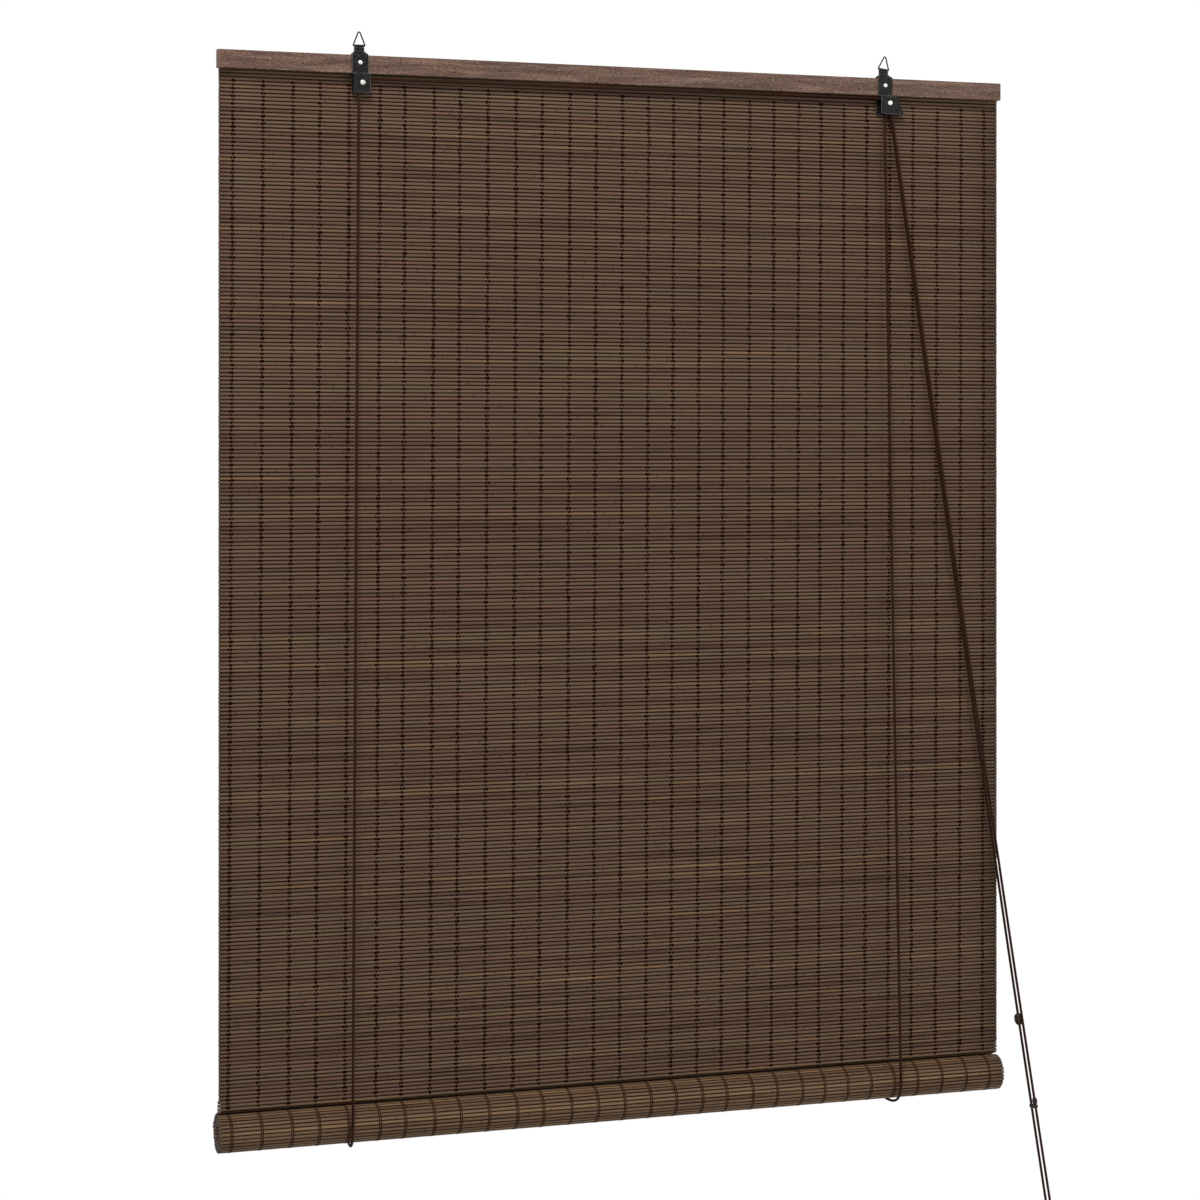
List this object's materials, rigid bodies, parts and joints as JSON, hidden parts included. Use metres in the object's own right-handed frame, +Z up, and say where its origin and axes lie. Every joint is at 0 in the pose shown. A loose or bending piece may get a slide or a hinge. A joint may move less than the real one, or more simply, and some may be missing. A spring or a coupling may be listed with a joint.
{
  "type": "bamboo roll up blind",
  "caption": "Roll up window blind: stained bamboo slats under a wooden head rail, lower part rolled up, with wire hanging rings, pulleys, a cord lock and pull cords.",
  "frame": {"origin": "midway between the two hanging brackets, level with the inner tops of the upright wire rings", "axes": "+X along the head rail, to the right seen from the room; +Y away from the room, towards the window; +Z up"},
  "size_m": [1.2927, 0.0648, 1.7655],
  "materials": {
    "bamboo_slats": "stained bamboo, semi matt",
    "stained_wood": "stained and varnished, semi matt",
    "stitch_thread": "twisted cotton thread",
    "lift_cord": "braided cord",
    "dark_sheet_metal": "blackened sheet steel, satin",
    "dark_wire": "blackened wire, satin",
    "nickel_rivet": "bright nickel",
    "pulley_plastic": "moulded plastic",
    "roller_metal": "plain steel",
    "staple_wire": "galvanised wire",
    "bead_wood": "turned and varnished",
    "connector_plastic": "moulded plastic"
  },
  "bodies": {
    "rail_frame": {"head_rail": "stained_wood", "hanging_mat": "bamboo_slats", "mat_threads": "stitch_thread", "mat_staples": "staple_wire", "pulley_housing": "dark_sheet_metal", "lock_housing": "dark_sheet_metal", "pulley_axle_rivet": "nickel_rivet", "lock_axle_rivet": "nickel_rivet", "transfer_cord": "lift_cord", "lock_cord_wrap": "lift_cord", "pull_cord_front": "lift_cord", "pull_cord_back": "lift_cord", "cord_bead": "bead_wood", "cord_connector": "connector_plastic", "end_knot_front": "lift_cord", "end_knot_back": "lift_cord", "hanger_strap_left": "dark_sheet_metal", "hanger_strap_right": "dark_sheet_metal", "strap_rivet_left": "nickel_rivet", "strap_rivet_right": "nickel_rivet", "lift_cord_front_left": "lift_cord", "lift_cord_front_right": "lift_cord", "lift_cord_back_left": "lift_cord", "lift_cord_back_right": "lift_cord", "cord_staple_left": "staple_wire", "cord_staple_right": "staple_wire"},
    "roll": {"mat_roll": "bamboo_slats", "bottom_batten": "stained_wood", "lift_cord_loop_left": "lift_cord", "lift_cord_loop_right": "lift_cord"},
    "pulley": {"pulley_wheel": "pulley_plastic"},
    "lock_pulley": {"lock_wheel": "pulley_plastic"},
    "roller": {"lock_roller": "roller_metal"},
    "ring_left": {"hanging_ring_left": "dark_wire"},
    "ring_right": {"hanging_ring_right": "dark_wire"}
  },
  "joints": [
    {"name": "roll_lift", "type": "slide", "parent": "rail_frame", "child": "roll", "axis": [0, 0, 1], "range_m": [0, 1.405], "deforming": ["hanging_mat", "mat_threads", "lift_cord_front_left", "lift_cord_front_right", "lift_cord_back_left", "lift_cord_back_right", "pull_cord_front", "pull_cord_back"]},
    {"name": "pulley_spin", "type": "hinge", "parent": "rail_frame", "child": "pulley", "pos_m": [-0.399, 0, -0.0696], "axis": [0, 1, 0], "continuous": true},
    {"name": "lock_wheel_spin", "type": "hinge", "parent": "rail_frame", "child": "lock_pulley", "pos_m": [0.4115, 0, -0.0676], "axis": [0, 1, 0], "continuous": true},
    {"name": "roller_slide", "type": "slide", "parent": "rail_frame", "child": "roller", "axis": [0.4045, 0, -0.9145], "range_m": [0, 0.005]},
    {"name": "ring_left_swing", "type": "hinge", "parent": "rail_frame", "child": "ring_left", "pos_m": [-0.403, 0, -0.0185], "axis": [1, 0, 0], "range_deg": [-120, 120]},
    {"name": "ring_right_swing", "type": "hinge", "parent": "rail_frame", "child": "ring_right", "pos_m": [0.403, 0, -0.0185], "axis": [0.9914, 0, -0.1305], "range_deg": [-120, 120]}
  ],
  "couplings": [
    {"joint": "pulley_spin", "follows": "roll_lift", "rad_per_m": 384.62},
    {"joint": "lock_wheel_spin", "follows": "roll_lift", "rad_per_m": 307.69}
  ]
}
